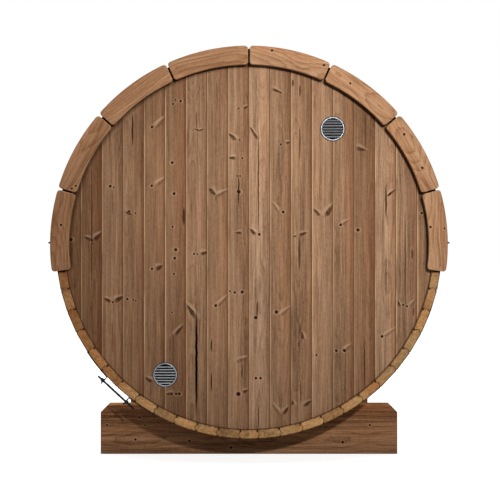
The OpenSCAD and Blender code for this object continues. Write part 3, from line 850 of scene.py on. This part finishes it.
leaf = Solid()
leaf_span = DOOR_LO.z - AXIS, DOOR_HI.z - AXIS
leaf_t = DOOR_HI.y - DOOR_LO.y
board_w = (DOOR_HI.x - DOOR_LO.x) / LEAF_BOARDS
for i in range(LEAF_BOARDS):
    u0 = DOOR_LO.x + board_w * i
    u1 = u0 + board_w
    board = Board(rng, ((u0 + u1) / 2, 0), (0, 1), rng.uniform(0.9, 1.15), rng.random())
    board.scatter(rng, DOOR_HI.z - DOOR_LO.z, board_w, 6)
    wall_board(leaf, board, u0, u1, lambda u: leaf_span, DOOR_HI.y, 1, leaf_t)
leaf.build("door_leaf_boards", wall_wood, ["door_leaf"])


# --- plates with eased edges
def inset(outline, amount):
    """The outline moved inward by amount, corners mitred; the outline runs counter-clockwise."""
    moved = []
    for i, point in enumerate(outline):
        before, after = point - outline[i - 1], outline[(i + 1) % len(outline)] - point
        n0, n1 = (Vector((-way.y, way.x)).normalized() for way in (before, after))
        moved.append(point + (n0 + n1) * amount / max(1 + n0.dot(n1), 0.2))
    return moved


def plate(
    solid, board, outline, face, outward, thickness, ease=EASE, classes=(), sides=(), steps=4
):
    """A board with that outline in X and Z and its outer face at Y = face, its long edges rounded.
    Classes and sides are how pale or dark each outer edge and each side of it is."""
    outline = [Vector(p) for p in outline]
    turns = even(0.0, QUARTER, steps)
    rings = [(ease * (1 - math.sin(a)), ease * (1 - math.cos(a))) for a in turns]
    rings += [(by, thickness - depth) for by, depth in reversed(rings)]
    points, grain = [], []
    for by, depth in rings:
        for p in inset(outline, by):
            points.append((p.x, face - outward * depth, p.y))
            grain.append((*board.local(p), depth))
    n = len(outline)
    last = (len(rings) - 1) * n
    faces, edges = [list(range(n)), list(range(last, last + n))], [0.0, 0.0]
    for k in range(len(rings) - 1):
        shades = classes if k < steps else sides if k == steps else ()
        edges += shades or [0.0] * n
        for i in range(n):
            j = (i + 1) % n
            faces.append([k * n + i, k * n + j, (k + 1) * n + j, (k + 1) * n + i])
    solid.add(board, points, grain, faces, edges)


def arc(centre, radius, start, end, count):
    """Points on an arc of X and Z, both ends included."""
    return [Vector(centre) + radius * heading(a) for a in even(start, end, count)]


def trim_outline(angle):
    """Outline of a trim board about its middle angle, and how pale or dark each eased edge is;
    the pale ones, mostly along the inner side, are painted highlights.
    """
    half, out_r, in_r = TRIM_PITCH / 2, TRIM_R - TRIM_CORNER, TRIM_R - TRIM_W + TRIM_CORNER
    off = TRIM_GAP / 2 + TRIM_CORNER
    a_out, a_in = half - math.asin(off / out_r), half - math.asin(off / in_r)
    middle = Vector((0, TRIM_CENTRE))

    def long_side(radius, start, end, count):
        return arc(middle, radius, angle + start, angle + end, count)

    def corner(radius, at, start, end):
        centre = middle + radius * heading(angle + at)
        return arc(centre, TRIM_CORNER, angle + start, angle + end, 6)

    q = QUARTER
    parts = [
        (long_side(TRIM_R, -a_out, a_out, 28), -0.7),
        (corner(out_r, a_out, a_out, half + q)[1:], -0.3),
        (corner(in_r, a_in, half + q, a_in + 2 * q), 0.35),
        (long_side(TRIM_R - TRIM_W, a_in, -a_in, 26)[1:], 0.3),
        (corner(in_r, -a_in, 2 * q - a_in, 3 * q - half)[1:], 0.35),
        (corner(out_r, -a_out, 3 * q - half, 4 * q - a_out)[:-1], 0.4),
    ]
    shades = [shade for points, shade in parts for _ in points]
    return [p for points, _ in parts for p in points], shades


trim_growth = {"rings": 95.0, "ring_share": 0.37, "slope": 0.14}
trim_wood = board_wood("trim_wood", TRIM_TONES, dark=srgb(128, 78, 42), **trim_growth)


def trim_ring(end, outward):
    """The eight trim boards of one end, as a left and a right piece."""
    face = outward * (HALF_LEN + TRIM_T)
    for side, word in ((1, "right"), (-1, "left")):
        boards, angles = [], []
        for i, tone in enumerate(TRIM_BOARD_TONE_AND_SHADE[word]):
            angle = QUARTER - side * TRIM_PITCH * (i + 0.5)
            out = heading(angle)
            middle = Vector((0, TRIM_CENTRE)) + out * (TRIM_R - TRIM_W / 2)
            along = (-out.y, out.x)
            boards.append(Board(rng, middle, along, tone, reach=TRIM_R * TRIM_PITCH / 2))
            angles.append(angle)
        if outward < 0:
            pins = [pin for pin in TRIM_PINS if (pin[0] > PHOTO / 2) == (side > 0)]
            put_marks(boards, face, pins, dark=0.75, glow=0.5)
        else:
            for board in boards:
                board.scatter(rng, 2 * board.reach, TRIM_W, 2)
        solid = Solid()
        for board, angle in zip(boards, angles):
            outline, classes = trim_outline(angle)
            plate(solid, board, outline, face, outward, TRIM_T, classes=classes)
        solid.build(f"{end}_trim_boards_{word}", trim_wood, [f"{end}_trim_{word}"])


trim_ring("rear", -1)
trim_ring("front", 1)

# --- cradles
cradle_growth = {"rings": 150.0, "ring_share": 0.22}
# The cradle's pale is the orange of the painted light on its top strips.
cradle_wood = board_wood("cradle_wood", CRADLE_TONES, pale=srgb(228, 170, 118), **cradle_growth)
CRADLE_CUTS = [i * 0.1 for i in range(-8, 9)]


def cradle(end, outward):
    """A beam with chamfered shoulders and a round seat; its top strips are painted lit and its
    eased edges along the bottom, the ends and the seat painted shaded.
    """
    lo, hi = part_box(f"{end}_cradle")
    seat_a = math.asin((AXIS - hi.z) / SEAT_R)
    seat_x = SEAT_R * math.cos(seat_a)
    c = CRADLE_CHAMFER
    outline = [(lo.x, lo.z), (hi.x, lo.z), (hi.x, hi.z - c), (hi.x - c, hi.z), (seat_x, hi.z)]
    outline += arc((0, AXIS), SEAT_R, -seat_a, seat_a - math.pi, 72)[1:-1]
    outline += [(-seat_x, hi.z), (lo.x + c, hi.z), (lo.x, hi.z - c)]
    # Painted light on the top strips and the left top edge, painted shade along the bottom, the
    # ends and the seat
    seat = [-0.8] * (len(outline) - 8) + [-0.3]
    classes = [-1.0, -0.8, -0.4, -0.3] + seat + [1.0, 0.2, -0.8]
    sides = [0.0, 0.2, 0.2, 0.7] + seat + [1.0, 0.2, 0.2]
    board = Board(rng, (0, (lo.z + hi.z) / 2), (1, 0), reach=hi.x)
    face = lo.y if outward < 0 else hi.y
    if outward < 0:
        put_marks([board], face, CRADLE_PINS, glow=0.7)
    else:
        board.scatter(rng, hi.x - lo.x, hi.z - lo.z, 9)
    solid = Solid()
    plate(solid, board, outline, face, outward, hi.y - lo.y, classes=classes, sides=sides)
    name, node = f"{end}_cradle_beam", f"{end}_cradle"
    solid.build(name, cradle_wood, [node], cuts=CRADLE_CUTS)


cradle("rear", -1)
cradle("front", 1)

# --- pieces that stay as the CAD has them
steel = black_paint()
STAVES = ["bottom_stave", "top_stave"]
STAVES += [f"{side}_staves_{part}" for side in ("left", "right") for part in ("lower", "upper")]
STEEL = ["rear_band", "front_band", "drip_edge_left", "drip_edge_right"]
for material, names in ((stave_wood(), STAVES), (steel, STEEL)):
    for name in names:
        nodes[name].data.materials.clear()
        nodes[name].data.materials.append(material)

# --- turned and laid pieces
PLAIN = Board(random.Random(1), (0, 0), (0, 1))


def lathe(solid, profile, at, axis, segments=40, closed=True):
    """Turns a profile of (radius, height) about an axis; an open profile gets flat ends."""
    axis = Vector(axis).normalized()
    side = axis.orthogonal().normalized()
    turn = axis.cross(side)
    points = []
    for radius, height in profile:
        for i in range(segments):
            a = 2 * math.pi * i / segments
            out = side * math.cos(a) + turn * math.sin(a)
            points.append(Vector(at) + axis * height + out * radius)
    rings = len(profile)
    faces = []
    for k in range(rings if closed else rings - 1):
        here, there = k * segments, (k + 1) % rings * segments
        for i in range(segments):
            j = (i + 1) % segments
            faces.append([here + i, here + j, there + j, there + i])
    if not closed:
        last = (rings - 1) * segments
        faces += [list(range(segments)), list(range(last, last + segments))]
    solid.add(PLAIN, points, points, faces, [0.0] * len(faces))


def prism(solid, ends, board=PLAIN):
    """A solid between two rings of matching points."""
    first, last = ends
    n = len(first)
    faces = [[i, (i + 1) % n, n + (i + 1) % n, n + i] for i in range(n)]
    faces += [list(range(n)), list(range(n, 2 * n))]
    points = [Vector(p) for p in first + last]
    solid.add(board, points, points, faces, [0.0] * len(faces))


# --- vents
def vent(name, fall, rim_metal, slat_metal):
    """A round vent: a rounded rim and slats in its sleeve, falling outward (1) or inward (-1)."""
    centre = Vector((VENTS[name].x, REAR_FACE, VENTS[name].z))
    sleeve, lip, back = VENT_HOLE_R - SLEEVE_T, 3.5 * MM, 2 * MM - WALL_T
    rim = Solid()
    bead = [
        (VENT_R - lip + lip * math.cos(a), 2.2 * MM + 3.6 * MM * math.sin(a))
        for a in even(0.0, math.pi, 10)
    ]
    tube = [(sleeve, -2 * MM), (sleeve, back), (VENT_HOLE_R, back), (VENT_HOLE_R, 0.0)]
    lathe(rim, [(VENT_R, 0.0)] + bead + tube, centre, (0, -1, 0), 72)
    rim.build(f"{name}_rim", rim_metal, [name])
    slats = Solid()
    pitch = 2 * sleeve / (VENT_SLATS + 0.6)
    thick, nose, front = 1.4 * MM, 1.2 * MM, -4.2 * MM
    run = Vector((math.cos(SLAT_SLOPE), fall * math.sin(SLAT_SLOPE)))
    up = Vector((-run.y, run.x)) * thick / 2
    for i in range(VENT_SLATS):
        start = Vector((front, (i - (VENT_SLATS - 1) / 2) * pitch - run.y * SLAT_W / 2))
        section = arc(start, nose, QUARTER, 3 * QUARTER, 8)
        section += [start + run * SLAT_W - up, start + run * SLAT_W + up]
        rings = [[], []]
        for p in section:
            half = math.sqrt(max((sleeve + 0.8 * MM) ** 2 - p.y**2, (6 * MM) ** 2))
            for ring, x in zip(rings, (-half, half)):
                ring.append(centre + Vector((x, p.x, p.y)))
        prism(slats, rings)
    slats.build(f"{name}_slats", slat_metal)


# Both vents are the same: the lower slats are painted lighter as lit, the upper ones darker as
# shaded
grey = metal("vent_slat_shaded", srgb(142, 143, 145), srgb(172, 173, 175), 0.5, 0.6, 0.0)
lit_slat_paint = srgb(186, 187, 188), srgb(208, 209, 210), 0.5, 0.6, 0.0
pale = metal("vent_slat_lit", *lit_slat_paint, inside=srgb(60, 61, 63))
# The upper rim is painted lighter as lit, the lower one darker as shaded
rim_lit = metal("vent_rim_lit", srgb(116, 122, 128), srgb(154, 160, 166), 0.38, 0.3)
rim_shaded = metal("vent_rim_shaded", srgb(110, 117, 123), srgb(146, 153, 159), 0.42, 0.3)
vent("upper_vent", -1, rim_lit, grey)
vent("lower_vent", 1, rim_shaded, pale)

# --- band tensioners
zinc = metal("zinc_plated", srgb(120, 122, 124), srgb(168, 170, 172), 0.4)
black_zinc = metal("black_zinc", srgb(34, 35, 37), srgb(66, 67, 70), 0.42)


def tensioner(end, y):
    """The threaded rod of a band with a washer and a nut outside each lug."""
    out = Vector((math.cos(TENSION_ANGLE), 0, math.sin(TENSION_ANGLE)))
    along = Vector((-out.z, 0, out.x))
    middle = Vector((0, y, AXIS)) + out * (BARREL_R + ROD_H)
    rod = Solid()
    start, tip = ROD_SHIFT - ROD_LEN / 2, ROD_R - 1.4 * MM
    profile = [(tip, start)]
    for i in range(int(ROD_LEN / THREAD)):
        profile.append((ROD_R - THREAD_DEPTH, start + (i + 0.35) * THREAD))
        profile.append((ROD_R, start + (i + 0.85) * THREAD))
    profile.append((tip, start + ROD_LEN))
    lathe(rod, profile, middle, along, 20, closed=False)
    rod.build(f"{end}_threaded_rod", steel, [f"{end}_tension_rod"], sharp=80)
    fixings = Solid()
    bore, cut, bevel = ROD_R + 0.1 * MM, NUT_R - 1.3 * MM, 1.1 * MM
    washer = [(bore, 0.0), (WASHER_R, 0.0), (WASHER_R, WASHER_T), (bore, WASHER_T)]
    nut = [(bore, 0.0), (cut, 0.0), (NUT_R, bevel)]
    nut += [(NUT_R, NUT_H - bevel), (cut, NUT_H), (bore, NUT_H)]
    for s in (-1, 1):
        seat = s * (LUG_GAP / 2 + LUG_T)
        lathe(fixings, washer, middle + along * seat, along * s, 32)
        lathe(fixings, nut, middle + along * (seat + s * WASHER_T), along * s, 6)
    fixings.build(f"{end}_band_nuts", black_zinc, sharp=20)


tensioner("rear", -BAND_Y)
tensioner("front", BAND_Y)

# --- roof covering
roofing = bitumen()
EAVE_ANGLE = math.asin((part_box("roof_right")[0].z - TRIM_CENTRE) / ROOF_R)


def on_roof(side, radius, angle, y, centre=TRIM_CENTRE):
    return Vector((side * radius * math.cos(angle), y, centre + radius * math.sin(angle)))


def shingle(solid, side, start, length, step, y0, y1):
    """One tab: its lower edge lies on top, its upper end goes under the next courses."""
    places = even(start, start + length, 6)
    rings = []
    for y in (y0, y1):
        tops = [ROOF_R - TAB_SINK - TAB_DROP * (a - start) / step for a in places]
        outer = [on_roof(side, top, a, y) for a, top in zip(places, tops)]
        inner = [on_roof(side, top - TAB_T, a, y) for a, top in zip(places, tops)]
        rings.append(outer + inner[::-1])
    prism(solid, rings, Board(rng, (0, 0), (0, 1)))


def roof_half(side, word):
    """Courses of three-tab shingles from the eave to the ridge, on a thin underlay."""
    solid = Solid()
    step = (QUARTER - EAVE_ANGLE) / COURSES
    tab = 2 * HALF_LEN / TABS
    for course in range(COURSES):
        start = EAVE_ANGLE + course * step
        length = min(TAB_OVERLAP * step, QUARTER - RIDGE_SLACK - start)
        y = -HALF_LEN - (tab / 2 if course % 2 else 0.0)
        while y < HALF_LEN - 1 * MM:
            y0, y1 = max(y + TAB_GAP / 2, -HALF_LEN), min(y + tab - TAB_GAP / 2, HALF_LEN)
            uneven = rng.uniform(0, TAB_UNEVEN) if course else 0.0
            shingle(solid, side, start + uneven, length - uneven, step, y0, y1)
            y += tab
    places = even(EAVE_ANGLE, QUARTER, 48)
    rings = []
    for y in (-HALF_LEN, HALF_LEN):
        ring = [on_roof(side, ROOF_IN_R, a, y, AXIS) for a in places]
        ring += [on_roof(side, ROOF_IN_R + UNDERLAY_T, a, y, AXIS) for a in reversed(places)]
        rings.append(ring)
    prism(solid, rings)
    solid.build(f"roof_shingles_{word}", roofing, [f"roof_{word}"])


roof_half(1, "right")
roof_half(-1, "left")

caps = Solid()
cap_len = 2 * HALF_LEN / CAPS
cap_half = RIDGE_W / 2 / ROOF_R
over = even(QUARTER - cap_half, QUARTER + cap_half, 16)
for i in range(CAPS):
    y0 = -HALF_LEN + i * cap_len
    rings = []
    for y in (y0, min(y0 + 1.5 * cap_len, HALF_LEN)):
        top = ROOF_R + RIDGE_T - 0.1 * MM - 1.2 * MM * (y - y0) / cap_len
        ring = [on_roof(1, top, a, y) for a in over]
        rings.append(ring + [on_roof(1, top - TAB_T, a, y) for a in reversed(over)])
    prism(caps, rings, Board(rng, (0, 0), (0, 1)))
caps.build("roof_ridge_caps", roofing, ["roof_ridge"])

# --- door frame and hardware
frame_wood = board_wood("frame_wood", TRIM_TONES, False, rings=120.0, ring_share=0.3)


def box_outline(x0, x1, z0, z1, corner=0.0):
    """A rectangle of X and Z, counter-clockwise, its corners rounded."""
    if not corner:
        return [(x0, z0), (x1, z0), (x1, z1), (x0, z1)]
    left, right, low, high = x0 + corner, x1 - corner, z0 + corner, z1 - corner
    spots = (right, low), (right, high), (left, high), (left, low)
    turns = (i * QUARTER for i in (-1, 0, 1, 2))
    return [p for at, a in zip(spots, turns) for p in arc(at, corner, a, a + QUARTER, 6)]


for name in ("door_jamb_left", "door_jamb_right", "door_head", "door_sill"):
    lo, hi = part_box(name)
    along = (0, 1) if hi.z - lo.z > hi.x - lo.x else (1, 0)
    board = Board(rng, ((lo.x + hi.x) / 2, (lo.z + hi.z) / 2), along, 0.95)
    solid = Solid()
    outline = box_outline(lo.x, hi.x, lo.z, hi.z)
    plate(solid, board, outline, hi.y, 1, hi.y - lo.y, ease=3 * MM)
    solid.build(f"{name}_eased", frame_wood, [name])

lo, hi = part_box("door_handle")
grip = Solid()
grip_x, room, waist_r = (lo.x + hi.x) / 2, hi.y - GRIP_T / 2 - lo.y, POST_R - 2.5 * MM
board = Board(rng, (grip_x, (lo.z + hi.z) / 2), (0, 1), 1.05)
outline = box_outline(lo.x, hi.x, lo.z, hi.z, 13 * MM)
plate(grip, board, outline, hi.y, 1, GRIP_T, ease=8 * MM, steps=6)
post = [(POST_R, 0.0), (POST_R, 2 * MM), (waist_r, 8 * MM)]
post += [(waist_r, room - 16 * MM), (POST_R, room - 10 * MM), (POST_R, room)]
for z in (lo.z + 54 * MM, hi.z - 54 * MM):
    lathe(grip, post, (grip_x, lo.y, z), (0, 1, 0), 32, closed=False)
grip.build("door_handle_bar", frame_wood, ["door_handle"])

lo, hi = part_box("door_hinges")
pin_x, plate_half, knuckle_h = lo.x + HINGE_LEN, HINGE_PLATE_H / 2, HINGE_PLATE_H / 3
hinges = Solid()
screws = Solid()
bevel = PIN_R - 0.8 * MM
knuckle = [(bevel, 0.3 * MM), (PIN_R, 1.1 * MM)]
knuckle += [(PIN_R, knuckle_h - 1.1 * MM), (bevel, knuckle_h - 0.3 * MM)]
# Radius and height of a screw's head, in millimetres, with a recess in its middle
dome = [(r * MM, h * MM) for r, h in ((4.6, 0.0), (4.4, 0.5), (3.2, 1.1), (2.0, 1.3), (1.4, 0.5))]
for z in (lo.z + plate_half, (lo.z + hi.z) / 2, hi.z - plate_half):
    strap = box_outline(lo.x, pin_x, z - HINGE_H / 2, z + HINGE_H / 2, 14 * MM)
    leaf_plate = box_outline(pin_x, hi.x, z - plate_half, z + plate_half, 6 * MM)
    for outline in (strap, leaf_plate):
        plate(hinges, PLAIN, outline, lo.y + HINGE_T, 1, HINGE_T, ease=0.8 * MM)
    for k in range(3):
        at = (pin_x, lo.y + PIN_R, z - plate_half + k * knuckle_h)
        lathe(hinges, knuckle, at, (0, 0, 1), 28, closed=False)
    spots = [(lo.x + d * MM, z) for d in (22, 78, 140)]
    spots += [((pin_x + hi.x) / 2 + 4 * MM, z + s * 28 * MM) for s in (-1, 1)]
    for x, up in spots:
        lathe(screws, dome, (x, lo.y + HINGE_T, up), (0, 1, 0), 20, closed=False)
hinges.build("door_hinge_straps", steel, ["door_hinges"])
screws.build("door_hinge_screws", zinc)

# --- camera, light and ground
scene.view_settings.view_transform = "Standard"
camera = bpy.data.objects.new("camera", bpy.data.cameras.new("camera"))
camera.location = CAMERA_AT
camera.rotation_euler = (QUARTER, 0, 0)
camera.data.lens, camera.data.sensor_width = LENS, SENSOR
camera.data.clip_end = 200
scene.collection.objects.link(camera)
scene.camera = camera


def lamp(name, kind, at, target, power, **settings):
    light = bpy.data.lights.new(name, kind)
    light.energy = power
    for key, value in settings.items():
        setattr(light, key, value)
    holder = bpy.data.objects.new(name, light)
    holder.location = at
    holder.rotation_euler = (Vector(target) - Vector(at)).to_track_quat("-Z", "Y").to_euler()
    scene.collection.objects.link(holder)


def spot_light(name, at, target, radius, cone, power):
    beam = {"shadow_soft_size": radius, "spot_size": math.radians(cone), "spot_blend": 1.0}
    lamp(name, "SPOT", at, target, power, **beam)


def area_light(name, at, target, size, power):
    lamp(name, "AREA", at, target, power, shape="DISK", size=size)


spot_light("key", (1.3, -6.4, 2.75), (0.33, -0.95, 1.85), 0.1, 44, 1180)
spot_light("low_fill", (-1.6, -3.6, 1.1), (-0.72, -0.73, 0.1), 0.2, 16, 34)
area_light("overhead", (0.4, -1.0, 5.4), (0.0, -0.4, 0.8), 3.0, 120)
area_light("door_side", (-2.2, 4.6, 2.9), (0.0, 0.9, 1.2), 1.2, 130)
for side in (-1, 1):
    area_light("flank", (side * 5.2, 1.6, 2.6), (side * 0.9, 0.2, 0.9), 2.0, 150)

sky = Tree(bpy.data.worlds.new("studio"))
scene.world = sky.owner
backdrop = sky.out("Background", {"Color": (1, 1, 1, 1)})
dim = sky.out("Background", {"Color": (0.97, 0.98, 1.0, 1), "Strength": 0.17})
sky.white_for_camera("OutputWorld", backdrop, dim)

ground = Tree(bpy.data.materials.new("studio_floor"))
lit = ground.out("BsdfDiffuse", {"Color": (0.5, 0.5, 0.5, 1)})
place = ground.out("NewGeometry", output="Position")
away = ground.out("VectorMath", {0: place}, "Value", operation="LENGTH")
shine = ground.out("Emission", {"Strength": ground.step(away, 1.2, 3.2, 0.84, 1.0)})
ground.white_for_camera("OutputMaterial", ground.out("AddShader", {0: lit, 1: shine}), lit)

FLOOR = 60.0
mesh = bpy.data.meshes.new("studio_floor")
mesh.from_pydata([(*p, 0) for p in box_outline(-FLOOR, FLOOR, -FLOOR, FLOOR)], [], [(0, 1, 2, 3)])
mesh.materials.append(ground.owner)
floor = bpy.data.objects.new("studio_floor", mesh)
scene.collection.objects.link(floor)
